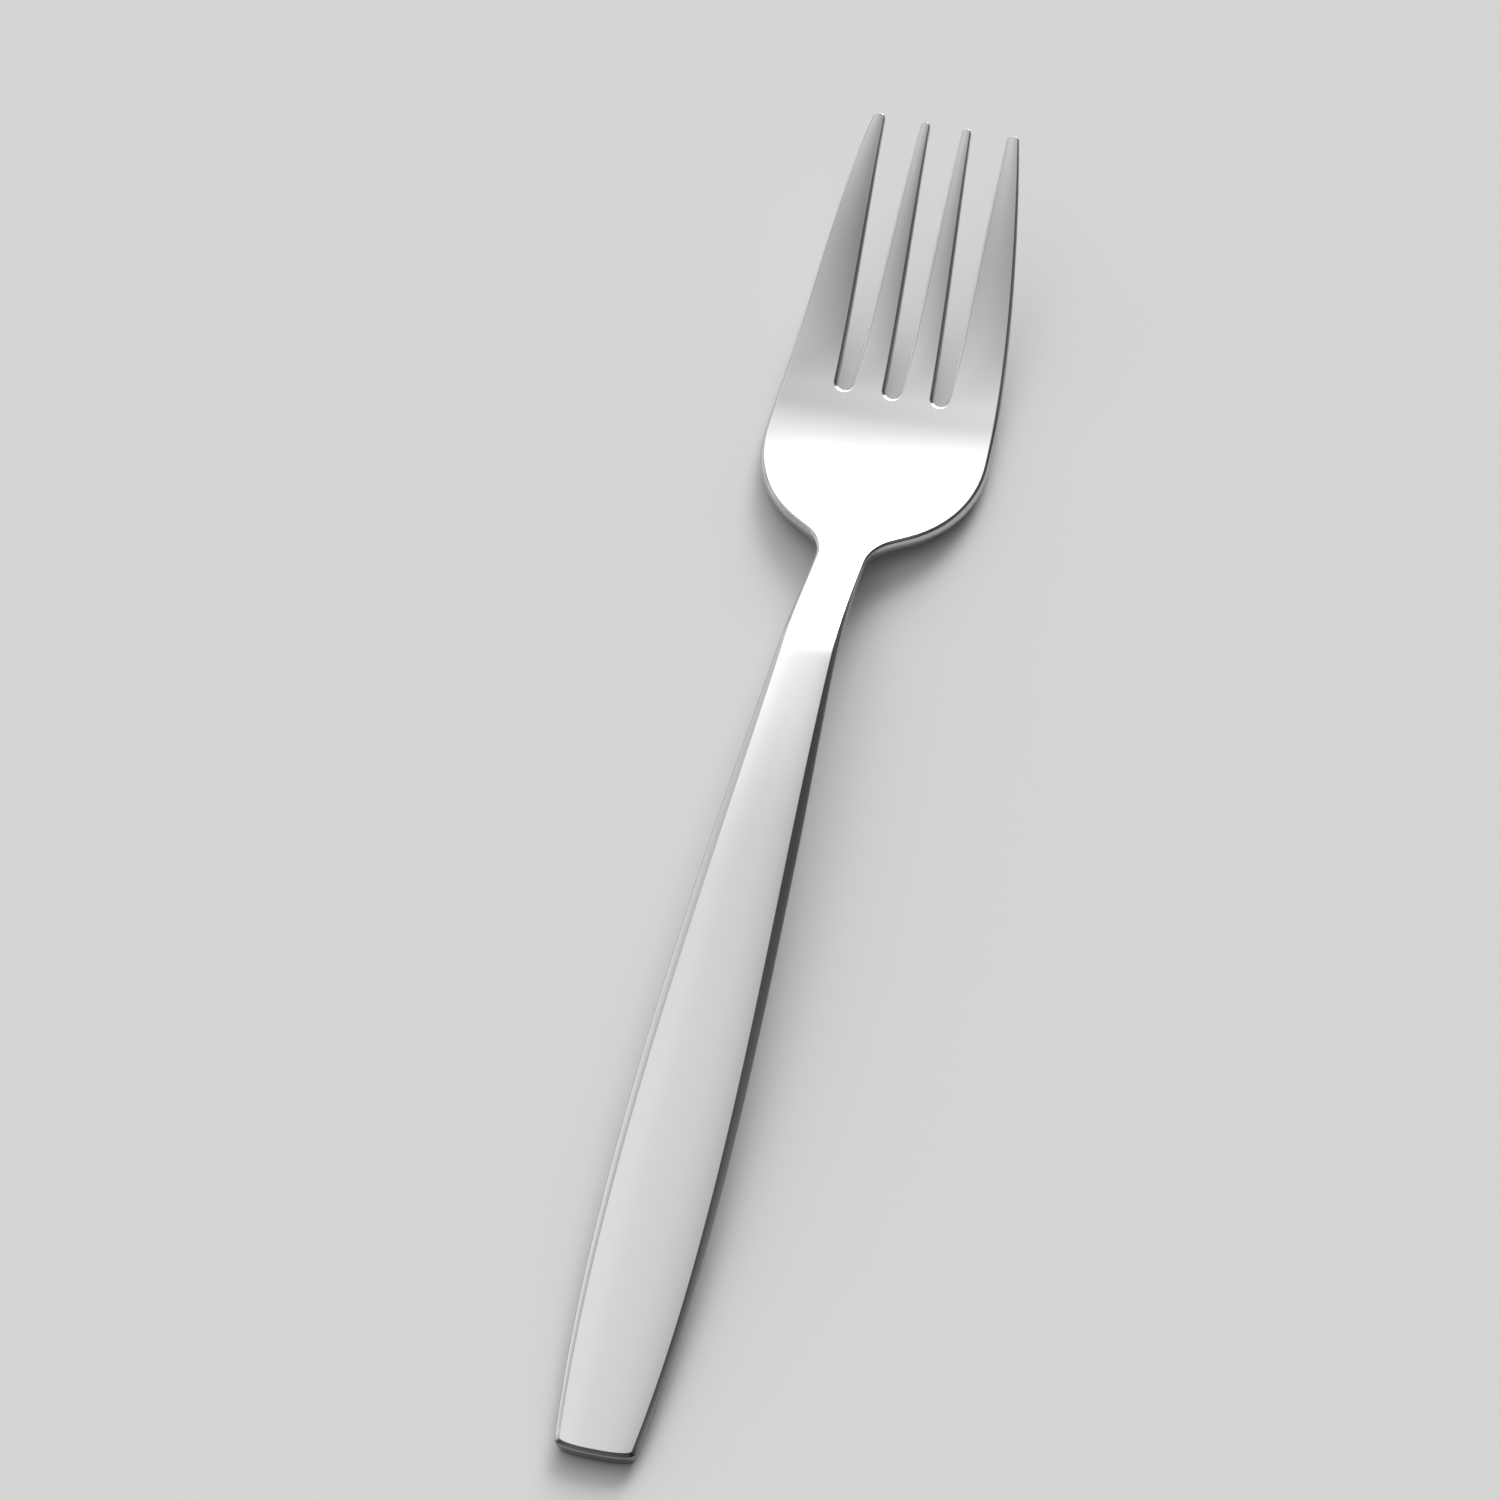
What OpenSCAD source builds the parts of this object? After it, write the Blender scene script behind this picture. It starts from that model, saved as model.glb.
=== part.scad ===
// Dessert fork of polished steel, lying on its back on a table.
// X runs across the fork, Y runs along it towards the tips of the tines, and Z points up.
// The origin is on the table, under the middle of the fork's length.
// A station is a distance along Y from the butt, the free end of the handle.
// The fork is one bent bar: each solid is a stretch of it, lofted through sections square to Y,
// and neighbouring stretches meet on the same section.

/* [Overall] */
// Length from the butt to the tips of the tines
overall_length = 171; // [150:1:200]
// Length from the narrowest part of the neck to the tips
head_length = 54.4; // [52:0.2:62]
// Length of the slim neck behind its narrowest part
neck_length = 30.8; // [22:0.2:42]

/* [Handle outline] */
// Width of the top across the butt
butt_width = 8; // [7.2:0.1:10]
// Spread of each side where it leaves the butt, in mm per mm
butt_spread = 0.12; // [0.05:0.01:0.2]
// Width of the handle's top where it is widest
handle_width = 11.2; // [9.5:0.1:15]
// Distance of the widest place from the butt
widest_at = 31; // [22:0.5:45]
// Width of the neck where it is narrowest
neck_width = 5.3; // [4:0.1:7]
// Reach of the butt's rounded corners across the handle
corner_across = 3.4; // [1:0.1:3.4]
// Reach of the butt's rounded corners along the handle
corner_along = 0.7; // [0.5:0.1:2]

/* [Head outline] */
// Width of the head at its shoulders
head_width = 25.6; // [22:0.2:32]
// Radius of the inward curve where the neck opens into the head
neck_fillet_r = 5.2; // [3:0.1:8]
// Angle at which the head opens from the neck, in degrees
flare_angle = 56.5; // [48:0.5:66]
// Radius of the round shoulders
shoulder_r = 13.6; // [8:0.1:16]
// How far each side of the head bows out between its shoulder and its tip
side_bow = 0.87; // [0:0.01:1.4]

/* [Tines] */
// Length of the slots, from the tips to their round ends
slot_length = 30.3; // [24:0.1:34]
// Width of a slot at its round end
slot_width = 2.26; // [1.6:0.02:3.2]
// Distance between neighbouring slots at their round ends
slot_pitch = 5.66; // [4.6:0.02:6.4]
// Distance across the tips of the two outer tines
tip_spread = 16.9; // [14:0.1:20]
// Gap between the tips of the two inner tines
tip_gap = 4.06; // [2.6:0.02:5]
// Width of an outer tine at its tip
outer_tip_width = 1; // [0.7:0.05:1.6]
// Width of an inner tine at its tip
inner_tip_width = 0.75; // [0.5:0.05:1.4]
// Radius of the corners of the tips
tip_round = 0.35; // [0.1:0.05:0.6]

/* [Side curve] */
// Slope of the handle at the butt, in mm per mm
butt_slope = 0.072; // [0.04:0.002:0.12]
// Height of the neck's top at its crest
crest_height = 10; // [8:0.05:13]
// Distance of the crest behind the narrowest part of the neck
crest_back = 16; // [12:0.1:24]
// Height of the neck's top at its narrowest part
neck_height = 5.3; // [4.5:0.1:6.5]
// Slope of the neck there, in mm per mm
neck_slope = -0.37; // [-0.45:0.01:-0.3]
// Distance of the lowest part of the head in front of the narrowest part of the neck
low_ahead = 18.6; // [16:0.1:22]
// Rise of the head's top from there to where the tines begin
root_rise = 0.53; // [0.3:0.01:0.8]
// Slope of the tines where they begin, in mm per mm
root_slope = 0.17; // [0.1:0.01:0.25]
// Height of the tops of the tips
tip_height = 14.8; // [10:0.1:20]
// Slope of the tines at their tips, in mm per mm
tip_slope = 0.29; // [0.15:0.01:0.45]
// How far the sides of the head stand above its middle
dish_depth = 0.5; // [0.3:0.05:2]

/* [Section] */
// Thickness at the butt, before its underside is ground flat
butt_thickness = 2.5; // [1.8:0.1:3.2]
// Thickness of the handle where it is thickest
handle_thickness = 3.1; // [2.4:0.1:4.5]
// Distance of the thickest place from the butt
thickest_at = 73; // [50:1:82]
// Thickness of the neck where it is narrowest
neck_thickness = 2.6; // [2:0.1:3.6]
// Thickness of the head
head_thickness = 1.9; // [1.4:0.1:2.6]
// Thickness of the tines at their tips
tip_thickness = 1.2; // [0.9:0.1:1.8]
// How far the middle of the handle's top stands above its edges
handle_crown = 0.3; // [0:0.05:0.6]
// Width of the facets along the upper edges, at the butt
butt_facet = 0.6; // [0.3:0.05:0.9]
// Width of the facets where they are widest
grip_facet = 0.95; // [0.5:0.05:1.4]
// Distance of that place from the butt
grip_at = 74; // [45:1:80]
// Width of the facets at the narrowest part of the neck
neck_facet = 0.33; // [0.1:0.01:0.5]
// Width of the facets where the tines begin
tine_facet = 0.2; // [0.1:0.01:0.4]
// Width of the facets at the tips
tip_facet = 0.1; // [0.05:0.01:0.2]
// Fall of the facets, in degrees from level
facet_fall = 33; // [25:1:50]
// Share of the facets' width by which the lower edges stand out from those of the top
lower_share = 0.55; // [0.3:0.05:0.8]
// Depth ground off under the butt to make the flat that it rests on
flat_depth = 0.25; // [0.15:0.01:0.4]
// Bevel along the lower edges
lower_bevel = 0.4; // [0.1:0.05:0.6]

/* [Hidden] */
steel = [0.78, 0.78, 0.77];

// Stations along the fork
neck_at = overall_length - head_length;
handle_end = neck_at - neck_length;
crest_at = neck_at - crest_back;
low_at = neck_at + low_ahead;
slot_r = slot_width / 2;
tines_at = overall_length - slot_length + slot_r;

// The neck's fillet, then a short straight run, then the shoulder's arc
fillet_end_x = neck_width / 2 + neck_fillet_r * (1 - cos(flare_angle));
fillet_end_at = neck_at + neck_fillet_r * sin(flare_angle);
shoulder_room = (head_width / 2 - fillet_end_x) / (1 - cos(flare_angle));
shoulder_arc_r = min(shoulder_r, shoulder_room);
shoulder_start_x = head_width / 2 - shoulder_arc_r * (1 - cos(flare_angle));
shoulder_start_at = fillet_end_at + (shoulder_start_x - fillet_end_x) / tan(flare_angle);
shoulder_at = shoulder_start_at + shoulder_arc_r * sin(flare_angle);

// Edges of the two side slots at the tips
inner_tine_edge = tip_gap / 2 + inner_tip_width;
outer_tine_edge = tip_spread / 2 - outer_tip_width;

// Fineness of the lofts: spans across a section, and steps along each stretch
handle_spans = 8;
head_spans = 18;
tine_spans = 4;
handle_steps = 24;
neck_steps = 14;
arc_steps = 8;
flat_head_steps = 5;
corner_steps = 5;
tine_steps = 12;

round_fn = 48;

// A small step for measuring a slope, and the shortest stretch worth a section of its own
slope_step = 0.01;

// Most of a narrow section that one lower bevel may take, and most of a tip that one corner may take
bevel_share = 0.25;
tip_corner_share = 0.45;

// Curve through knots [station, value, slope], cubic between neighbours
side_knots = [
    [0, butt_thickness - flat_depth, butt_slope],
    [crest_at, crest_height, 0],
    [neck_at, neck_height, neck_slope],
    [low_at, head_thickness, 0],
    [tines_at, head_thickness + root_rise, root_slope],
    [overall_length, tip_height, tip_slope]
];
thickness_knots = [
    [0, butt_thickness, 0],
    [thickest_at, handle_thickness, 0],
    [neck_at, neck_thickness, 0],
    [low_at, head_thickness, 0],
    [overall_length, tip_thickness, 0]
];
handle_knots = [
    [0, butt_width / 2, butt_spread],
    [widest_at, handle_width / 2, 0],
    [neck_at, neck_width / 2, 0]
];
facet_knots = [
    [0, butt_facet, 0],
    [grip_at, grip_facet, 0],
    [neck_at, neck_facet, 0],
    [tines_at, tine_facet, 0],
    [overall_length, tip_facet, 0]
];

function span_of(knots, s, i = 0) =
    (i >= len(knots) - 2 || s <= knots[i + 1][0]) ? i : span_of(knots, s, i + 1);

function cubic(a, b, s) =
    let (
        run = b[0] - a[0],
        t = (s - a[0]) / run
    )
    a[1] * (1 + 2 * t) * pow(1 - t, 2)
    + a[2] * run * t * pow(1 - t, 2)
    + b[1] * (3 - 2 * t) * t * t
    + b[2] * run * (t - 1) * t * t;

function curve(knots, s) =
    let (i = span_of(knots, s))
    cubic(knots[i], knots[i + 1], s);

// Smooth step from 0 at station a to 1 at station b
function ramp(a, b, s) =
    let (t = min(1, max(0, (s - a) / (b - a))))
    t * t * (3 - 2 * t);

// Side view: the top of the fork at its middle, and how steep it is
function side(s) = curve(side_knots, s);
function slope(s) = (side(s + slope_step) - side(s - slope_step)) / (2 * slope_step);

// Thickness along Z that gives the stated thickness square to the surface
function depth(s) = curve(thickness_knots, s) * sqrt(1 + pow(slope(s), 2));

// Facets: how far they reach outside the top's edges, and how far the one across the butt falls
function facet(s) = curve(facet_knots, s);
function butt_fall(s) = tan(facet_fall) * max(0, butt_facet - s);

// Height of the top and the underside: dished across the head, crowned across the handle
function dish(x, s) = dish_depth * ramp(neck_at, low_at, s) * pow(2 * x / head_width, 2);
function crown(x, s) = handle_crown * (1 - ramp(crest_at, neck_at, s)) * pow(2 * x / handle_width, 2);
function top_z(x, s) = side(s) + dish(x, s) - crown(x, s) - butt_fall(s);
function under_z(x, s) = side(s) + dish(x, s) - depth(s);

// Half-widths in plan
function handle_half(s) = curve(handle_knots, s);
function head_half(s) =
    let (t = (s - shoulder_at) / (overall_length - shoulder_at))
    head_width / 2 * (1 - t) + tip_spread / 2 * t + 4 * side_bow * t * (1 - t);

// Straight edge of a slot, from x = root_x where the tines begin to x = tip_x at the tips
function slot_edge(root_x, tip_x, s) =
    let (t = (s - tines_at) / (overall_length - tines_at))
    root_x * (1 - t) + tip_x * t;

// Section at station s, clockwise seen from the butt, between the edges left and right of its top
function section(s, left, right, spans) =
    let (
        y = s - overall_length / 2,
        out = facet(s),
        low_out = lower_share * out,
        low_left = left - low_out,
        low_right = right + low_out,
        fall = out * tan(facet_fall),
        low_bevel = min(lower_bevel, (right - left) * bevel_share),
        low_run = low_right - low_left - 2 * low_bevel
    )
    concat(
        [[left - out, y, top_z(left, s) - fall]],
        [for (i = [0:spans]) let (x = left + (right - left) * i / spans) [x, y, top_z(x, s)]],
        [[right + out, y, top_z(right, s) - fall], [low_right, y, under_z(low_right, s) + low_bevel]],
        [for (i = [0:spans]) let (x = low_right - low_bevel - low_run * i / spans) [x, y, under_z(x, s)]],
        [[low_left, y, under_z(low_left, s) + low_bevel]]
    );

// Solid through a list of sections with equal numbers of points
// A cap is a strip of four-sided faces between the section's top and its underside
module loft(sections) {
    n = len(sections[0]);
    last = len(sections) - 1;
    sides = [
        for (k = [0:last - 1], i = [0:n - 1])
            let (a = k * n + i, b = k * n + (i + 1) % n)
            each [[a, a + n, b + n], [a, b + n, b]]
    ];
    start_cap = [for (i = [0:n / 2 - 2]) [i, i + 1, n - 2 - i, n - 1 - i]];
    end_cap = [for (f = start_cap) [for (i = [3:-1:0]) last * n + f[i]]];
    polyhedron(points = [for (part = sections) each part], faces = concat(start_cap, end_cap, sides));
}

// Even stations from a to b
function stations(a, b, steps) = [for (i = [0:steps]) a + (b - a) * i / steps];

// Handle from its rounded butt to the neck, with facets along its top and ground flat under the butt
module handle() {
    corner = [
        for (i = [0:corner_steps - 1])
            let (angle = 90 * i / corner_steps, s = corner_along * (1 - cos(angle)))
            [s, handle_half(s) - corner_across * (1 - sin(angle))]
    ];
    body = [for (s = stations(corner_along, handle_end, handle_steps)) [s, handle_half(s)]];
    below = butt_thickness;
    color(steel)
    difference() {
        loft([for (p = concat(corner, body)) section(p[0], -p[1], p[1], handle_spans)]);
        translate([-handle_width, -overall_length, -below])
        cube([2 * handle_width, overall_length, below]);
    }
}

// Slim neck, up to its narrowest part
module neck() {
    color(steel)
    loft([
        for (s = stations(handle_end, neck_at, neck_steps))
            section(s, -handle_half(s), handle_half(s), handle_spans)
    ]);
}

// Root of the head: opens from the neck to the shoulders and holds the round ends of the slots
module head_root() {
    fillet = [
        for (angle = stations(0, flare_angle, arc_steps))
            [neck_at + neck_fillet_r * sin(angle), neck_width / 2 + neck_fillet_r * (1 - cos(angle))]
    ];
    shoulder = [
        for (angle = stations(flare_angle, 0, arc_steps))
            [shoulder_at - shoulder_arc_r * sin(angle), head_width / 2 - shoulder_arc_r * (1 - cos(angle))]
    ];
    has_run = shoulder_start_at - fillet_end_at > slope_step;
    arcs = concat(fillet, [for (i = [has_run ? 0 : 1:arc_steps]) shoulder[i]]);
    rest = stations(shoulder_at, tines_at, flat_head_steps);
    sides = [for (i = [1:flat_head_steps]) [rest[i], head_half(rest[i])]];
    color(steel)
    difference() {
        loft([for (p = concat(arcs, sides)) section(p[0], -p[1], p[1], head_spans)]);
        for (x = [-slot_pitch, 0, slot_pitch])
            slot_end(x);
    }
}

// Round end of a slot, opened out at the top by its facet, which is square to the sloping top
module slot_end(x) {
    fall = tine_facet * tan(facet_fall);
    translate([x, tines_at - overall_length / 2, 0])
    cylinder(r = slot_r - tine_facet, h = 2 * tip_height, center = true, $fn = round_fn);
    translate([x, tines_at - overall_length / 2, top_z(x, tines_at)])
    rotate([atan(slope(tines_at)), 0, 0])
    cylinder(r1 = slot_r - tine_facet, r2 = slot_r + tine_facet, h = 2 * fall, center = true, $fn = round_fn);
}

// Stations of a tine: along its straight sides, then round the tip
function tine_stations(corner_r) = concat(
    stations(tines_at, overall_length - corner_r, tine_steps),
    [for (i = [1:corner_steps]) overall_length - corner_r * (1 - sin(90 * i / corner_steps))]
);

// How far the corner of a tip has come in at station s
function tip_inset(corner_r, s) =
    let (past = max(0, s - (overall_length - corner_r)))
    corner_r - sqrt(max(0, pow(corner_r, 2) - pow(past, 2)));

// Tines on the right of the fork, mirrored for the left
module inner_tine(way) {
    corner_r = min(tip_round, tip_corner_share * inner_tip_width);
    color(steel)
    mirror([way < 0 ? 1 : 0, 0, 0])
    loft([
        for (s = tine_stations(corner_r))
            let (inset = tip_inset(corner_r, s))
            section(
                s,
                slot_edge(slot_r, tip_gap / 2, s) + inset,
                slot_edge(slot_pitch - slot_r, inner_tine_edge, s) - inset,
                tine_spans
            )
    ]);
}

module outer_tine(way) {
    corner_r = min(tip_round, tip_corner_share * outer_tip_width);
    color(steel)
    mirror([way < 0 ? 1 : 0, 0, 0])
    loft([
        for (s = tine_stations(corner_r))
            let (inset = tip_inset(corner_r, s))
            section(
                s,
                slot_edge(slot_pitch + slot_r, outer_tine_edge, s) + inset,
                head_half(s) - inset,
                tine_spans
            )
    ]);
}

handle();
neck();
head_root();
outer_tine(-1);  // outer_tine_left
inner_tine(-1);  // inner_tine_left
inner_tine(1);  // inner_tine_right
outer_tine(1);  // outer_tine_right
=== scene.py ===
# Dessert fork of polished steel: one seamless skin in place of the plain solids,
# with its finish, a pale floor, soft studio light and a camera.

import math
from functools import partial

import bpy
from mathutils import Matrix, Vector


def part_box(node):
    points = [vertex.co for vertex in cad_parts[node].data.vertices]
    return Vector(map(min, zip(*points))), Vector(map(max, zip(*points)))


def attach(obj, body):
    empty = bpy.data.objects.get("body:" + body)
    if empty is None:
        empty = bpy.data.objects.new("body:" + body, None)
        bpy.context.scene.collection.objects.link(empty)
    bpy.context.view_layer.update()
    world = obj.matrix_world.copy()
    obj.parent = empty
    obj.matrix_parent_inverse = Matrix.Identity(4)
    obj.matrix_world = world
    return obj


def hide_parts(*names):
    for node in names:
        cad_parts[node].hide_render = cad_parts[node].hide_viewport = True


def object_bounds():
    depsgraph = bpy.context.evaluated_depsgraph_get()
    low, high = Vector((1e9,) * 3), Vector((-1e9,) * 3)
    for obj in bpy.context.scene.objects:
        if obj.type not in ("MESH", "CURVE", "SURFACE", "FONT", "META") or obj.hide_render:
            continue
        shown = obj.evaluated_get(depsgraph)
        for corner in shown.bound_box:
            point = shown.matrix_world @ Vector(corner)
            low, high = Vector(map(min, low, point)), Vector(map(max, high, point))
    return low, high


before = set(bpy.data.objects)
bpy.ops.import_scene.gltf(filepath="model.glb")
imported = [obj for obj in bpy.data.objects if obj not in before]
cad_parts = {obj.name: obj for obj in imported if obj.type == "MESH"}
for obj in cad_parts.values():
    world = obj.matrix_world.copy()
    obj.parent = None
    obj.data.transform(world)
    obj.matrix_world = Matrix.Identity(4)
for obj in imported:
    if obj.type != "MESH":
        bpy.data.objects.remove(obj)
cad_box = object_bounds()

MM = 0.001

# Sizes in millimetres. A station is a distance along Y from the butt, the free end of the handle.
overall_length = (cad_box[1].y - cad_box[0].y) / MM
half_length = overall_length / 2
neck_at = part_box("neck")[1].y / MM + half_length
tines_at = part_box("head_root")[1].y / MM + half_length
head_half_width = 12.8

# Outline of the handle and the head
butt_half_width = 4
butt_spread = 0.12
handle_half_width = 5.6
widest_at = 31
neck_half_width = 2.65
corner_across = 3.4
corner_along = 0.7
neck_fillet_r = 5.2
flare = math.radians(56.5)
shoulder_r = 13.6
side_bow = 0.87

# Slots and tines
slot_r = 1.13
slot_pitch = 5.66
tip_half_spread = 8.45
tip_half_gap = 2.03
outer_tip_width = 1.1
inner_tip_width = 0.8
tip_round = 0.35
tip_corner_share = 0.45

# Side curve
butt_slope = 0.072
crest_height = 10
crest_to_neck = 16
crest_at = neck_at - crest_to_neck
neck_height = 5.3
neck_slope = -0.37
neck_to_low = 18.6
low_at = neck_at + neck_to_low
root_rise = 0.53
root_slope = 0.17
tip_height = 14.8
tip_slope = 0.29
dish_depth = 0.5

# Section
butt_thickness = 2.5
handle_thickness = 3.1
thickest_at = 73
neck_thickness = 2.6
head_thickness = 1.9
tip_thickness = 1.2
crown_tilt = 0.13
flat_depth = 0.25

# Edges: a crease, then a facet, then a heel down to a slightly swollen wall
facet_top = math.radians(60)
facet_foot = math.radians(54)
butt_facet = 0.42
butt_facet_slope = 0.0107
grip_facet = 0.95
grip_at = 74
neck_facet = 0.22
tine_facet = 0.2
tip_facet = 0.06
tip_facet_slope = -0.02
tip_end_share = 0.06
lower_share = 0.55
handle_crease_r = 0.12
head_crease_r = 0.2
tine_crease_r = 0.35
slot_crease_r = 0.45
tip_crease_r = 0.15
handle_heel_r = 0.2
tip_heel_r = 0.12
handle_under_r = 0.4
tip_under_r = 0.25
handle_swell = 0.03
head_swell = 0.16
tine_swell = 0.1
# How far the side walls' rougher steel and painted shade are lifted back to the faces' bright polish, round
# the shoulders and along the tines
shoulder_polish_and_light = 0.8
tine_polish_and_light = 0.5
tine_tilt_root = 0.08
tine_tilt_tip = 0.16

# Fineness of the skin
BAR_STEP = 1.2
ARC_STEPS = 12
CORNER_STEPS = 8
SHOULDER_STEPS = 8
TINE_STEPS = 26
TIP_STEPS = 4
TINE_COLUMNS = (8, 6, 6, 8)
SLOT_COLUMNS = 12
CREASE_STEPS = 4
FACET_STEPS = 2
HEEL_STEPS = 3
WALL_STEPS = 4
UNDER_STEPS = 4
TINES = len(TINE_COLUMNS)
COLUMNS = sum(TINE_COLUMNS) + (TINES - 1) * SLOT_COLUMNS
SLOPE_STEP = 0.02

# The neck's fillet, then a short straight run, then the shoulder's arc
fillet_end_x = neck_half_width + neck_fillet_r * (1 - math.cos(flare))
fillet_end_at = neck_at + neck_fillet_r * math.sin(flare)
shoulder_start_x = head_half_width - shoulder_r * (1 - math.cos(flare))
shoulder_start_at = fillet_end_at + (shoulder_start_x - fillet_end_x) / math.tan(flare)
shoulder_at = shoulder_start_at + shoulder_r * math.sin(flare)

# Knots of the curves along the fork: station, value, slope
side_knots = [
    (0, butt_thickness - flat_depth, butt_slope),
    (crest_at, crest_height, 0),
    (neck_at, neck_height, neck_slope),
    (low_at, head_thickness, 0),
    (tines_at, head_thickness + root_rise, root_slope),
    (overall_length, tip_height, tip_slope),
]
thickness_knots = [
    (0, butt_thickness, 0),
    (thickest_at, handle_thickness, 0),
    (neck_at, neck_thickness, 0),
    (low_at, head_thickness, 0),
    (overall_length, tip_thickness, 0),
]
handle_knots = [
    (0, butt_half_width, butt_spread),
    (widest_at, handle_half_width, 0),
    (neck_at, neck_half_width, 0),
]
facet_knots = [
    (0, butt_facet, butt_facet_slope),
    (grip_at, grip_facet, 0),
    (neck_at, neck_facet, 0),
    (tines_at, tine_facet, 0),
    (overall_length, tip_facet, tip_facet_slope),
]


def curve(knots, s):
    """Cubic through the knots, at station s."""
    i = 0
    while i < len(knots) - 2 and s > knots[i + 1][0]:
        i += 1
    (a_at, a, a_slope), (b_at, b, b_slope) = knots[i:i + 2]
    run = b_at - a_at
    t = (s - a_at) / run
    left = (a * (1 + 2 * t) + a_slope * run * t) * (1 - t) ** 2
    return left + (b * (3 - 2 * t) + b_slope * run * (t - 1)) * t * t


def ramp(a, b, s):
    """Smooth step from 0 at station a to 1 at station b."""
    t = min(1, max(0, (s - a) / (b - a)))
    return t * t * (3 - 2 * t)


def mix(a, b, t):
    return a + (b - a) * t


def spread(a, b, count):
    """Even points from a to b, with both ends."""
    return [tuple(mix(p, q, i / count) for p, q in zip(a, b)) for i in range(count + 1)]


def depth(s):
    """Thickness along Z."""
    rise = curve(side_knots, s + SLOPE_STEP) - curve(side_knots, s - SLOPE_STEP)
    return curve(thickness_knots, s) * math.hypot(1, rise / (2 * SLOPE_STEP))


def middle_height(x, s):
    """Height of the bent sheet, dished across the head."""
    return curve(side_knots, s) + dish_depth * ramp(neck_at, low_at, s) * (x / head_half_width) ** 2


def top_height(x, s):
    """Height of the top, crowned across the handle: level in the middle, crown_tilt steep at the edges."""
    half = handle_half(min(s, neck_at))
    share = (x / half) ** 2
    crown = crown_tilt * half * (share + share ** 2) / 6
    return middle_height(x, s) - crown * (1 - ramp(crest_at, neck_at, s))


def under_height(x, s):
    """Height of the underside, ground flat under the butt."""
    return max(0, middle_height(x, s) - depth(s))


def handle_half(s):
    return curve(handle_knots, s)


def head_half(s):
    t = (s - shoulder_at) / (overall_length - shoulder_at)
    return mix(head_half_width, tip_half_spread, t) + 4 * side_bow * t * (1 - t)


def is_inner(k):
    return 0 < k < TINES - 1


def tine_edges(k, s):
    """Left and right edge of tine k, counted from the left."""
    t = (s - tines_at) / (overall_length - tines_at)
    inner = (
        mix(slot_r, tip_half_gap, t),
        mix(slot_pitch - slot_r, tip_half_gap + inner_tip_width, t),
    )
    outer = (mix(slot_pitch + slot_r, tip_half_spread - outer_tip_width, t), head_half(s))
    near, far = inner if is_inner(k) else outer
    return (near, far) if k >= TINES / 2 else (-far, -near)


def tine_top_height(k, x, s):
    """Height of tine k's top, crowned across its width."""
    left, right = tine_edges(k, s)
    half = (right - left) / 2
    along = ramp(tines_at, tines_at + slot_pitch, s)
    tilt = along * mix(tine_tilt_root, tine_tilt_tip, ramp(tines_at, overall_length, s))
    return top_height(x, s) - tilt / 2 * (x - (left + right) / 2) ** 2 / half


def along_fork(s, handle, head, root, tip):
    """A value that goes from the handle's to the head's, the tines' roots' and the tips'."""
    value = mix(handle, head, ramp(crest_at, neck_at, s))
    value = mix(value, root, ramp(low_at, tines_at, s))
    return mix(value, tip, ramp(tines_at, overall_length, s))


def edge_share(place):
    """Share of its full size that the edge has at a place: it is sharp round the ends of the tips."""
    if place[0] == "tip":
        return tip_end_share
    if place[0] == "tine":
        turned = math.pi / 2 * max(0, place[2] - TINE_STEPS) / TIP_STEPS
        return mix(1, tip_end_share, math.sin(turned))
    return 1


def crease_r(place, s):
    """Radius of the edge's first turn, widest round the slots' ends."""
    radius = along_fork(s, handle_crease_r, head_crease_r, tine_crease_r, tip_crease_r)
    if place[0] == "slot":
        radius = mix(tine_crease_r, slot_crease_r, math.sin(math.pi * place[2] / SLOT_COLUMNS))
    return radius * edge_share(place)


def heel_r(place, s):
    return along_fork(s, handle_heel_r, handle_heel_r, tip_heel_r, tip_heel_r) * edge_share(place)


def under_r(s):
    return along_fork(s, handle_under_r, handle_under_r, handle_under_r, tip_under_r)


def swell(s):
    """How far a wall swells out, as a share of its height."""
    share = mix(handle_swell, head_swell, ramp(neck_at, fillet_end_at, s))
    return mix(share, tine_swell, ramp(low_at, tines_at, s))


def facet(s):
    """How far the facet reaches outside the crease."""
    return curve(facet_knots, s)


def bar_side():
    """Half-width and station along the right side, from the butt to the tines."""
    points = []
    for i in range(CORNER_STEPS):
        angle = math.pi / 2 * i / CORNER_STEPS
        s = butt_facet + corner_along * (1 - math.cos(angle))
        points.append((handle_half(s) - corner_across * (1 - math.sin(angle)), s))
    corner_end = butt_facet + corner_along
    steps = round((neck_at - corner_end) / BAR_STEP)
    for i in range(steps + 1):
        s = mix(corner_end, neck_at, i / steps)
        points.append((handle_half(s), s))
    for i in range(1, ARC_STEPS + 1):
        angle = flare * i / ARC_STEPS
        x = neck_half_width + neck_fillet_r * (1 - math.cos(angle))
        points.append((x, neck_at + neck_fillet_r * math.sin(angle)))
    for i in range(ARC_STEPS + 1):
        angle = flare * (1 - i / ARC_STEPS)
        x = head_half_width - shoulder_r * (1 - math.cos(angle))
        points.append((x, shoulder_at - shoulder_r * math.sin(angle)))
    for i in range(1, SHOULDER_STEPS + 1):
        s = mix(shoulder_at, tines_at, i / SHOULDER_STEPS)
        points.append((head_half(s), s))
    return points


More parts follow.
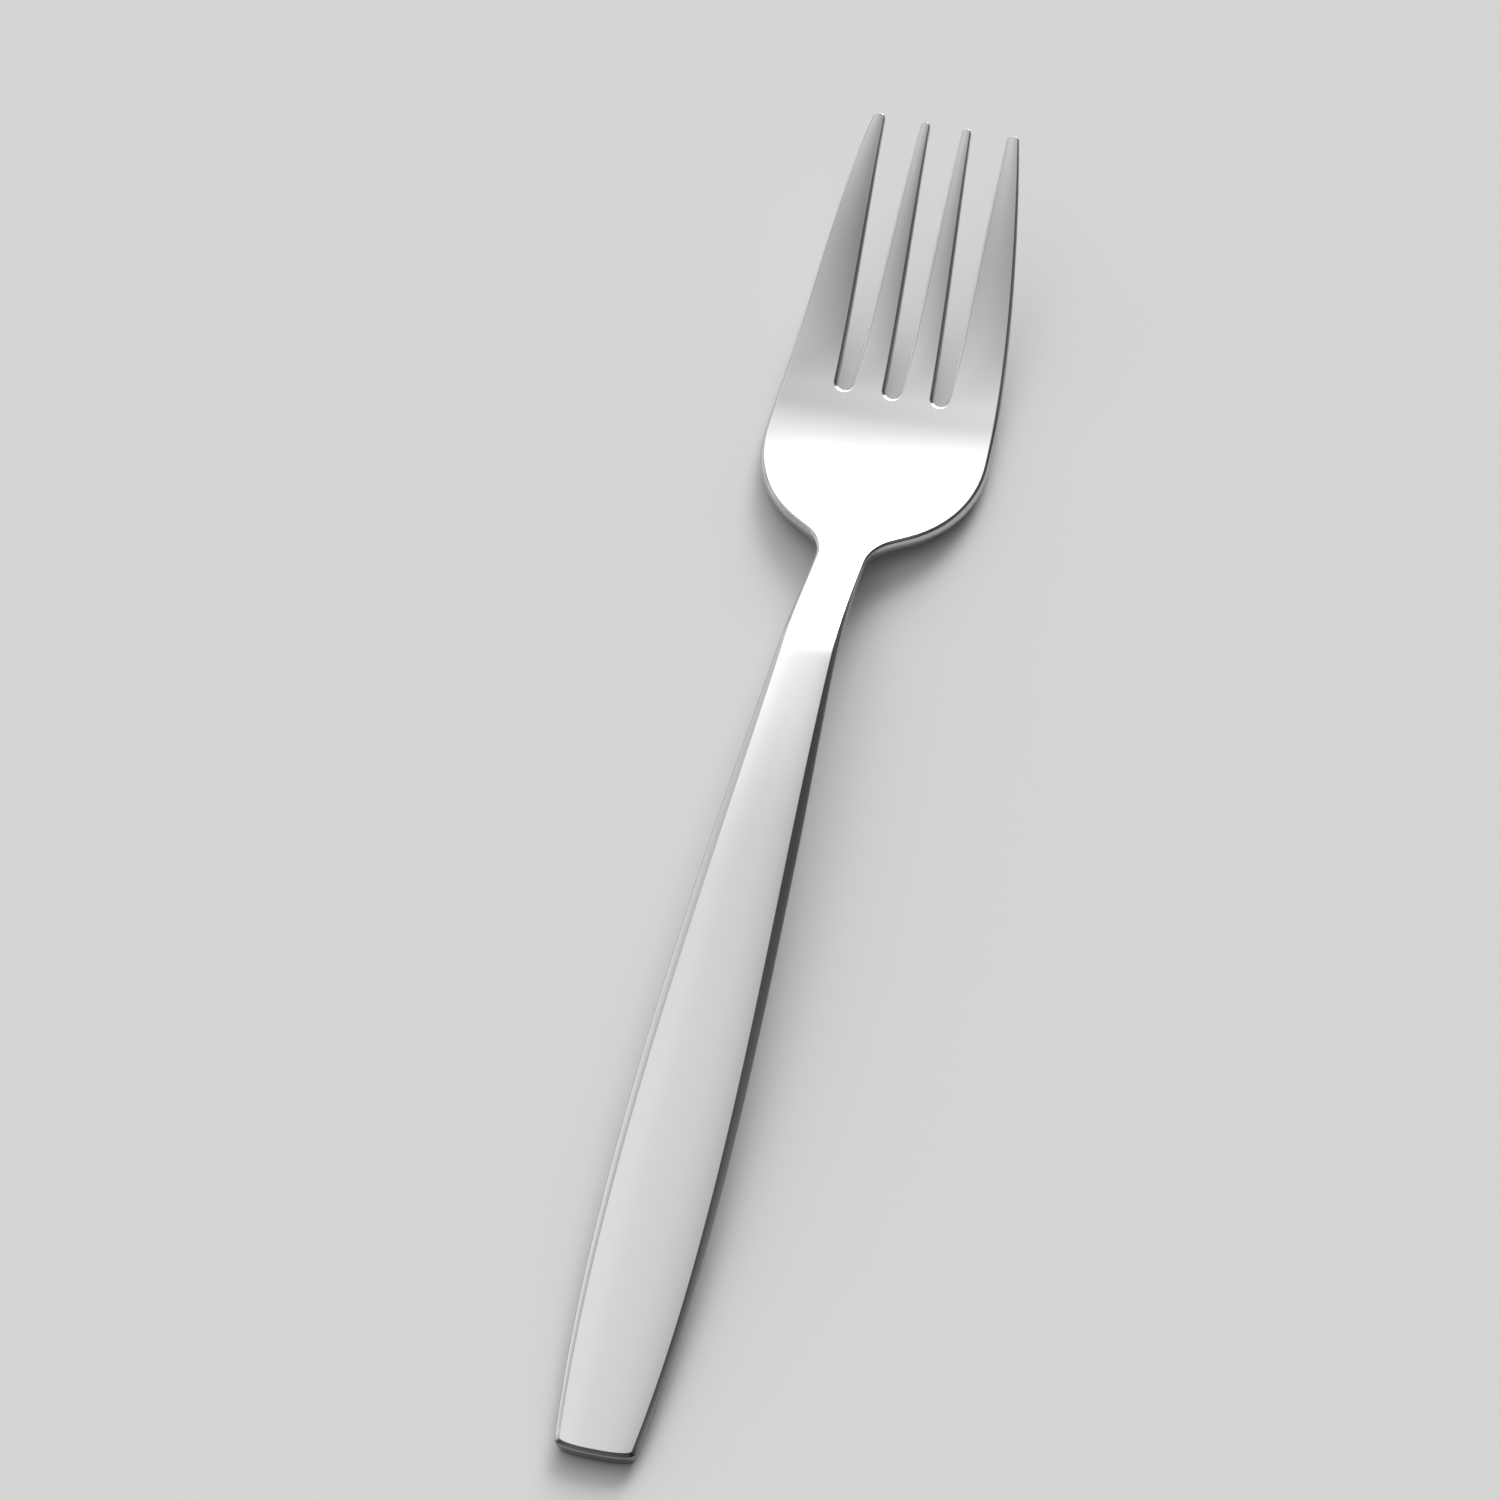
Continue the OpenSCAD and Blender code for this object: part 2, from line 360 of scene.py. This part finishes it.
def tine_rows(k):
    """Left edge, right edge and station of tine k's rows, from its root to its tip."""
    tip_width = inner_tip_width if is_inner(k) else outer_tip_width
    corner = min(tip_round, tip_corner_share * tip_width)
    straight_end = overall_length - tip_facet - corner
    rows = []
    for i in range(TINE_STEPS + 1):
        s = mix(tines_at, straight_end, i / TINE_STEPS)
        rows.append((*tine_edges(k, s), s))
    for i in range(1, TIP_STEPS + 1):
        angle = math.pi / 2 * i / TIP_STEPS
        s = straight_end + corner * math.sin(angle)
        left, right = tine_edges(k, s)
        inset = corner * (1 - math.cos(angle))
        rows.append((left + inset, right - inset, s))
    return rows


bar = bar_side()
BAR_ROWS = len(bar) - 1
ROOT_ROW = BAR_ROWS - SHOULDER_STEPS
TINE_ROWS = TINE_STEPS + TIP_STEPS


def outline():
    """Named places on the plan outline, anticlockwise from above, each with its x and station."""
    places = {}
    for j, point in enumerate(spread((-bar[0][0], bar[0][1]), bar[0], COLUMNS)):
        places["butt", j] = point
    for i in range(1, BAR_ROWS + 1):
        places["bar", i, 1] = bar[i]
    for k in reversed(range(TINES)):
        rows = tine_rows(k)
        for i in range(1, TINE_ROWS + 1):
            places["tine", k, i, 1] = rows[i][1:]
        left, right, s = rows[-1]
        for j in range(TINE_COLUMNS[k] - 1, 0, -1):
            places["tip", k, j] = (mix(left, right, j / TINE_COLUMNS[k]), s)
        for i in range(TINE_ROWS, 0, -1):
            places["tine", k, i, -1] = (rows[i][0], rows[i][2])
        if k == 0:
            break
        for m in range(SLOT_COLUMNS, -1, -1):
            angle = math.pi * m / SLOT_COLUMNS
            x = (k - TINES / 2) * slot_pitch - slot_r * math.cos(angle)
            places["slot", k - 1, m] = (x, tines_at - slot_r * math.sin(angle))
    for i in range(BAR_ROWS, 0, -1):
        places["bar", i, -1] = (-bar[i][0], bar[i][1])
    return places


def outward_of(places):
    """Outward direction in plan at each place, from its two neighbours."""
    names = list(places)
    found = {}
    for i, name in enumerate(names):
        before, here, after = (places[names[(i + d) % len(names)]] for d in (-1, 0, 1))
        a = Vector(here) - Vector(before)
        b = Vector(after) - Vector(here)
        along = a / a.length * b.length + b / b.length * a.length
        found[name] = Vector((along.y, -along.x)).normalized()
    return found


class Skin:
    """Points, normals, and the walls' dullness and painted shade, of the fork's surface, with its faces."""

    def __init__(self):
        self.points = []
        self.normals = []
        self.dullness_and_shade = []
        self.faces = []

    def add(self, x, s, z, normal, dull_and_shade=0.0):
        self.points.append((x * MM, (s - half_length) * MM, z * MM))
        self.normals.append(Vector(normal).normalized())
        self.dullness_and_shade.append(dull_and_shade)
        return len(self.points) - 1

    def add_on(self, height, x, s, facing):
        """A point on a height function; facing is 1 for a top and -1 for an underside."""
        across = height(x + SLOPE_STEP, s) - height(x - SLOPE_STEP, s)
        along = height(x, s + SLOPE_STEP) - height(x, s - SLOPE_STEP)
        normal = Vector((-across, -along, 2 * SLOPE_STEP)) * facing
        return self.add(x, s, height(x, s), normal)

    def grid(self, rows, facing):
        """Four-sided faces between rows of vertices."""
        for low, high in zip(rows, rows[1:]):
            for j in range(len(low) - 1):
                face = (low[j], low[j + 1], high[j + 1], high[j])
                self.faces.append(face if facing > 0 else face[::-1])


def sheet(skin, places, outward, facing):
    """Top or underside inside its rim. Returns the vertex at each place of the outline."""
    inner = {}
    for place, (x, s) in places.items():
        if facing > 0:
            inset = crease_r(place, s) * math.cos(facet_top)
        else:
            inset = under_r(s) - lower_share * facet(s)
        inner[place] = (x - outward[place].x * inset, s - outward[place].y * inset)

    rows = [[inner["butt", j] for j in range(COLUMNS + 1)]]
    for i in range(1, BAR_ROWS + 1):
        rows.append(spread(inner["bar", i, -1], inner["bar", i, 1], COLUMNS))

    starts = []
    head = []
    for k, count in enumerate(TINE_COLUMNS):
        starts.append(len(head))
        left = inner["slot", k - 1, SLOT_COLUMNS] if k else inner["bar", BAR_ROWS, -1]
        right = inner["slot", k, 0] if k < TINES - 1 else inner["bar", BAR_ROWS, 1]
        head += spread(left, right, count)
        if k < TINES - 1:
            head += [inner["slot", k, m] for m in range(1, SLOT_COLUMNS)]
    for i in range(ROOT_ROW + 1, BAR_ROWS + 1):
        t = (i - ROOT_ROW) / SHOULDER_STEPS
        row = [tuple(mix(p, q, t) for p, q in zip(low, high)) for low, high in zip(rows[ROOT_ROW], head)]
        rows[i] = [inner["bar", i, -1], *row[1:-1], inner["bar", i, 1]]

    height = top_height if facing > 0 else under_height
    grid = [[skin.add_on(height, x, s, facing) for x, s in row] for row in rows]
    skin.grid(grid, facing)

    vertex = {("butt", j): grid[0][j] for j in range(COLUMNS + 1)}
    for i in range(1, BAR_ROWS + 1):
        vertex["bar", i, -1] = grid[i][0]
        vertex["bar", i, 1] = grid[i][-1]
    for k, count in enumerate(TINE_COLUMNS):
        first = starts[k]
        if k < TINES - 1:
            for m in range(SLOT_COLUMNS + 1):
                vertex["slot", k, m] = grid[-1][first + count + m]
        tine_height = partial(tine_top_height, k) if facing > 0 else under_height
        tine_grid = [grid[-1][first:first + count + 1]]
        for i in range(1, TINE_ROWS + 1):
            left, right = (inner["tine", k, i, way] for way in (-1, 1))
            row = spread(left, right, count)
            if i == TINE_ROWS:
                row[1:-1] = [inner["tip", k, j] for j in range(1, count)]
            found = [skin.add_on(tine_height, x, s, facing) for x, s in row]
            tine_grid.append(found)
            vertex["tine", k, i, -1] = found[0]
            vertex["tine", k, i, 1] = found[-1]
            if i == TINE_ROWS:
                for j in range(1, count):
                    vertex["tip", k, j] = found[j]
        skin.grid(tine_grid, facing)
    return vertex


def dullness_and_shade(s):
    """How much rougher and darker the side walls are than the faces. The darkening is a painted shade
    standing in for dark reflections, and it is lifted round the shoulders and along the tines.
    """
    polish_and_light = mix(shoulder_polish_and_light, tine_polish_and_light, ramp(low_at, tines_at, s))
    return 1 - polish_and_light * ramp(neck_at, fillet_end_at, s)


def turn(point, out, up, start, end, length, steps):
    """Points and normals down an edge whose tilt goes from start to end, after the given point."""
    found = []
    tilt = start
    for i in range(1, steps + 1):
        after = mix(start, end, i / steps)
        middle = (tilt + after) / 2
        half_turn = (after - tilt) / 2
        chord = length / steps * (math.sin(half_turn) / half_turn if half_turn else 1)
        point = point + out * (chord * math.sin(middle)) - up * (chord * math.cos(middle))
        found.append((point, out * math.cos(after) + up * math.sin(after)))
        tilt = after
    return found


def edge_profile(place, s, out, top_point, top_normal, under_point):
    """Points and normals down the edge at one place, and how many of them stay polished, without the walls'
    roughness and painted shade.
    """
    rise = curve(side_knots, s + SLOPE_STEP) - curve(side_knots, s - SLOPE_STEP)
    up = Vector((0, -rise, 2 * SLOPE_STEP)).normalized()
    out = (out - up * out.dot(up)).normalized()
    top_tilt = math.atan2(top_normal.dot(up), top_normal.dot(out))
    crease = crease_r(place, s) * (top_tilt - facet_top)
    profile = turn(top_point, out, up, top_tilt, facet_top, crease, CREASE_STEPS)
    length = facet(s) * edge_share(place) / math.sin((facet_top + facet_foot) / 2)
    profile += turn(profile[-1][0], out, up, facet_top, facet_foot, length, FACET_STEPS)

    low_centre = under_point + up * under_r(s)
    fall = low_centre + out * under_r(s) - profile[-1][0]
    wall_tilt = math.atan2(fall.dot(out), -fall.dot(up))
    swell_tilt = math.atan(4 * swell(s))
    heel = heel_r(place, s) * (facet_foot - wall_tilt - swell_tilt)
    polished = len(profile)
    profile += turn(profile[-1][0], out, up, facet_foot, wall_tilt + swell_tilt, heel, HEEL_STEPS)

    low_tilt = wall_tilt - swell_tilt
    wall_top = profile[-1][0]
    wall_foot = low_centre + (out * math.cos(low_tilt) + up * math.sin(low_tilt)) * under_r(s)
    drop = (wall_top - wall_foot).dot(up)
    run = (wall_foot - wall_top).dot(out)
    for i in range(1, WALL_STEPS):
        t = i / WALL_STEPS
        point = wall_top.lerp(wall_foot, t) + out * (4 * swell(s) * drop * t * (1 - t))
        tilt = math.atan2(run + 4 * swell(s) * drop * (1 - 2 * t), drop)
        profile.append((point, out * math.cos(tilt) + up * math.sin(tilt)))
    for i in range(UNDER_STEPS):
        tilt = mix(low_tilt, -math.pi / 2, i / UNDER_STEPS)
        way = out * math.cos(tilt) + up * math.sin(tilt)
        profile.append((low_centre + way * under_r(s), way))
    return profile, polished


def walls(skin, places, outward, top, under):
    """Edges and side walls, from the top's vertices to the underside's."""
    columns = []
    for place, (_, s) in places.items():
        top_point = Vector(skin.points[top[place]]) / MM
        under_point = Vector(skin.points[under[place]]) / MM
        out = outward[place].to_3d()
        top_normal = skin.normals[top[place]]
        profile, polished = edge_profile(place, s, out, top_point, top_normal, under_point)
        column = [top[place]]
        for i, (point, way) in enumerate(profile):
            # Below the facet the points get the walls' rougher steel and painted shade
            dull_and_shade = dullness_and_shade(s) if i >= polished else 0.0
            column.append(skin.add(point.x, point.y + half_length, point.z, way, dull_and_shade))
        columns.append([*column, under[place]])
    for a, b in zip(columns, columns[1:] + columns[:1]):
        for i in range(len(a) - 1):
            skin.faces.append((a[i], a[i + 1], b[i + 1], b[i]))


def make_fork():
    places = outline()
    outward = outward_of(places)
    skin = Skin()
    top = sheet(skin, places, outward, 1)
    under = sheet(skin, places, outward, -1)
    walls(skin, places, outward, top, under)
    mesh = bpy.data.meshes.new("fork")
    mesh.from_pydata(skin.points, [], skin.faces)
    mesh.shade_smooth()
    mesh.normals_split_custom_set_from_vertices(skin.normals)
    # The mask carries the walls' rougher steel and their painted shade into the material
    dull_and_shade = mesh.attributes.new("dullness_and_shade", "FLOAT", "POINT")
    dull_and_shade.data.foreach_set("value", skin.dullness_and_shade)
    fork = bpy.data.objects.new("fork", mesh)
    bpy.context.scene.collection.objects.link(fork)
    return fork


def add_node(tree, kind, **inputs):
    """A shader node with the given socket values; a socket given as a source is linked."""
    node = tree.nodes.new(kind)
    for name, value in inputs.items():
        socket = node.inputs[name.replace("_", " ")]
        if isinstance(value, bpy.types.NodeSocket):
            tree.links.new(value, socket)
        else:
            socket.default_value = value
    return node


def add_math(tree, operation, *values):
    node = tree.nodes.new("ShaderNodeMath")
    node.operation = operation
    for socket, value in zip(node.inputs, values):
        if isinstance(value, bpy.types.NodeSocket):
            tree.links.new(value, socket)
        else:
            socket.default_value = value
    return node.outputs[0]


def add_noise(tree, at, scale, detail):
    return add_node(tree, "ShaderNodeTexNoise", Vector=at, Scale=scale, Detail=detail).outputs["Fac"]


def new_material(name):
    material = bpy.data.materials.new(name)
    material.use_nodes = True
    tree = material.node_tree
    return material, tree, tree.nodes["Principled BSDF"]


# Finish of the steel: its tone, the darker tone painted on the side walls as shade, its roughness, and the
# scale and depth in metres of its marks
STEEL = 0.57
# Painted shade: the side walls' darker steel tone, standing in for dark reflections
PAINTED_SHADE_STEEL = 0.28
STEEL_ROUGHNESS = 0.16
DULL_ROUGHNESS = 0.3
LINE_STRETCH = (6000, 120, 6000)
LINE_DETAIL = 3
LINE_ROUGHNESS = 0.05
LINE_DEPTH = 6.0e-7
WAVE_SCALE = 90
WAVE_DETAIL = 1
WAVE_DEPTH = 2.0e-5
SMUDGE_SCALE = 260
SMUDGE_DETAIL = 4
SMUDGE_ROUGHNESS = 0.04


def polished_steel():
    """Polished steel with fine lines along the fork, a faint waviness, and rougher side walls painted
    darker as shade.
    """
    material, tree, shader = new_material("polished_steel")
    place = tree.nodes.new("ShaderNodeTexCoord").outputs["Object"]
    dull_and_shade = tree.nodes.new("ShaderNodeAttribute")
    dull_and_shade.attribute_name = "dullness_and_shade"
    stretched = add_node(tree, "ShaderNodeMapping", Vector=place, Scale=LINE_STRETCH).outputs[0]
    lines = add_noise(tree, stretched, 1, LINE_DETAIL)
    waves = add_noise(tree, place, WAVE_SCALE, WAVE_DETAIL)
    smudges = add_noise(tree, place, SMUDGE_SCALE, SMUDGE_DETAIL)

    # The walls' tone is mixed towards the painted shade by the mask
    tone = tree.nodes.new("ShaderNodeMix")
    tone.data_type = "RGBA"
    tone.inputs["A"].default_value = (STEEL, STEEL, STEEL, 1)
    tone.inputs["B"].default_value = (PAINTED_SHADE_STEEL, PAINTED_SHADE_STEEL, PAINTED_SHADE_STEEL, 1)
    tree.links.new(dull_and_shade.outputs["Fac"], tone.inputs["Factor"])
    tree.links.new(tone.outputs["Result"], shader.inputs["Base Color"])

    smoothest = STEEL_ROUGHNESS - (LINE_ROUGHNESS + SMUDGE_ROUGHNESS) / 2
    grain = add_math(tree, "MULTIPLY_ADD", lines, LINE_ROUGHNESS, smoothest)
    grain = add_math(tree, "MULTIPLY_ADD", smudges, SMUDGE_ROUGHNESS, grain)
    rough = add_math(tree, "MULTIPLY_ADD", dull_and_shade.outputs["Fac"], DULL_ROUGHNESS - STEEL_ROUGHNESS, grain)
    tree.links.new(rough, shader.inputs["Roughness"])

    ripple = add_node(tree, "ShaderNodeBump", Height=waves, Distance=WAVE_DEPTH, Strength=1.0)
    scratch = add_node(tree, "ShaderNodeBump", Height=lines, Distance=LINE_DEPTH, Strength=1.0)
    tree.links.new(ripple.outputs["Normal"], scratch.inputs["Normal"])
    tree.links.new(scratch.outputs["Normal"], shader.inputs["Normal"])
    shader.inputs["Metallic"].default_value = 1.0
    return material


# The floor: its tone, and its size and depth under the fork in metres
FLOOR_GREY = 0.667
FLOOR_SIZE = 8
FLOOR_DROP = 0.00005


def make_floor():
    half = FLOOR_SIZE / 2
    corners = [(-half, -half), (half, -half), (half, half), (-half, half)]
    mesh = bpy.data.meshes.new("floor")
    mesh.from_pydata([(x, y, -FLOOR_DROP) for x, y in corners], [], [(0, 1, 2, 3)])
    material, _, shader = new_material("pale_floor")
    shader.inputs["Base Color"].default_value = (FLOOR_GREY, FLOOR_GREY, FLOOR_GREY, 1)
    shader.inputs["Roughness"].default_value = 1.0
    shader.inputs["Specular IOR Level"].default_value = 0.0
    mesh.materials.append(material)
    floor = bpy.data.objects.new("floor", mesh)
    bpy.context.scene.collection.objects.link(floor)


# Highest level that a ramp of the studio's light holds
RAMP_PEAK = 1.6

# Brightness of the studio by the angle up from the horizon beyond the tips and over the top, in degrees
CEILING = [
    (0, 1.5),
    (36, 1.3),
    (48, 0.7),
    (56, 1.25),
    (60, 1.36),
    (63, 1.2),
    (66, 0.96),
    (73, 1.12),
    (80, 0.97),
    (89, 0.89),
    (98, 0.82),
    (107, 0.73),
    (114, 0.64),
    (122, 0.15),
    (134, 0.1),
    (148, 0.2),
    (180, 0.25),
]

# Share of it by the way across, from -1 on the left to 1 on the right
ACROSS = [
    (-1, 1.4),
    (-0.92, 0.95),
    (-0.85, 0.62),
    (-0.7, 0.62),
    (-0.55, 0.82),
    (-0.42, 1.16),
    (-0.28, 1.17),
    (-0.14, 1),
    (0, 0.83),
    (0.1, 0.62),
    (0.2, 0.76),
    (0.35, 0.42),
    (0.5, 0.08),
    (0.74, 0.09),
    (0.82, 0.22),
    (1, 0.45),
]

# Soft-edged panels, three beyond the tips and one behind the butt: the edges by the angle over the top,
# the edges by the way across, the softness of both, and the brightness
PANELS = [
    ((8, 54), (-0.42, 0.16), (6, 0.14), 1.4),
    ((8, 59), (-0.75, -0.17), (4, 0.1), 0.28),
    ((13, 39), (-0.11, 0.29), (8, 0.1), 13.8),
    ((152, 200), (-0.95, 0.95), (8, 0.1), 0.45),
]


def add_ramp(tree, at, knots):
    """A grey ramp through the knots, read at a value between the first and the last of them."""
    first = knots[0][0]
    last = knots[-1][0]
    share = add_node(tree, "ShaderNodeMapRange", Value=at, From_Min=first, From_Max=last)
    ramp_node = tree.nodes.new("ShaderNodeValToRGB")
    stops = ramp_node.color_ramp.elements
    stops.remove(stops[1])
    for i, (where, level) in enumerate(knots):
        place = (where - first) / (last - first)
        stop = stops.new(place) if i else stops[0]
        stop.position = place
        stop.color = (level / RAMP_PEAK, level / RAMP_PEAK, level / RAMP_PEAK, 1)
    tree.links.new(share.outputs["Result"], ramp_node.inputs["Fac"])
    return ramp_node.outputs["Color"]


def add_edge(tree, at, outside, inside):
    """A soft edge, 0 outside and 1 inside."""
    edge = add_node(tree, "ShaderNodeMapRange", Value=at, From_Min=outside, From_Max=inside)
    edge.interpolation_type = "SMOOTHSTEP"
    return edge.outputs["Result"]


def add_band(tree, at, low, high, soft):
    """A soft-edged band, 1 between low and high."""
    rise = add_edge(tree, at, low - soft, low + soft)
    fall = add_edge(tree, at, high + soft, high - soft)
    return add_math(tree, "MULTIPLY", rise, fall)


def light_studio():
    """Ceiling, brighter beyond the tips and on the left, and panels beyond the tips and behind the butt."""
    world = bpy.data.worlds.new("studio")
    bpy.context.scene.world = world
    world.use_nodes = True
    tree = world.node_tree
    way = tree.nodes.new("ShaderNodeTexCoord").outputs["Generated"]
    parts = add_node(tree, "ShaderNodeSeparateXYZ", Vector=way)
    across = parts.outputs["X"]
    over = add_math(tree, "DEGREES", add_math(tree, "ARCTAN2", parts.outputs["Z"], parts.outputs["Y"]))
    level = add_math(tree, "MULTIPLY", add_ramp(tree, over, CEILING), RAMP_PEAK)
    level = add_math(tree, "MULTIPLY", level, add_ramp(tree, across, ACROSS))
    level = add_math(tree, "MULTIPLY", level, RAMP_PEAK)
    for (low, high), (left, right), (soft_over, soft_across), brightness in PANELS:
        tall = add_band(tree, over, low, high, soft_over)
        wide = add_band(tree, across, left, right, soft_across)
        panel = add_math(tree, "MULTIPLY", tall, wide)
        level = add_math(tree, "MULTIPLY_ADD", panel, brightness, level)
    tree.links.new(level, tree.nodes["Background"].inputs["Strength"])
    tree.nodes["Background"].inputs["Color"].default_value = (1, 1, 1, 1)


# The camera: its direction from the target, its roll, its distance and target in metres, and its lens in mm
CAMERA_AZIMUTH = math.radians(17.935)
CAMERA_ELEVATION = math.radians(58.09)
CAMERA_ROLL = math.radians(-5.0)
CAMERA_DISTANCE = 1.3409
CAMERA_TARGET = Vector((-0.004994, 0.007053, 0))
CAMERA_LENS = 284.19
CAMERA_SENSOR = 36
CAMERA_CLIP = 0.01


def make_camera():
    level = math.cos(CAMERA_ELEVATION)
    back = Vector((
        math.sin(CAMERA_AZIMUTH) * level,
        -math.cos(CAMERA_AZIMUTH) * level,
        math.sin(CAMERA_ELEVATION),
    ))
    right = Vector((math.cos(CAMERA_AZIMUTH), math.sin(CAMERA_AZIMUTH), 0))
    up = back.cross(right)
    turned_right = right * math.cos(CAMERA_ROLL) + up * math.sin(CAMERA_ROLL)
    turned_up = up * math.cos(CAMERA_ROLL) - right * math.sin(CAMERA_ROLL)
    data = bpy.data.cameras.new("camera")
    data.lens = CAMERA_LENS
    data.sensor_width = CAMERA_SENSOR
    data.clip_start = CAMERA_CLIP
    camera = bpy.data.objects.new("camera", data)
    facing = Matrix((turned_right, turned_up, back)).transposed().to_4x4()
    camera.matrix_world = Matrix.Translation(CAMERA_TARGET + back * CAMERA_DISTANCE) @ facing
    bpy.context.scene.collection.objects.link(camera)
    bpy.context.scene.camera = camera


fork = make_fork()
fork.data.materials.append(polished_steel())
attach(fork, "root")
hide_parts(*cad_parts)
make_floor()
light_studio()
make_camera()
bpy.context.scene.view_settings.view_transform = "Standard"
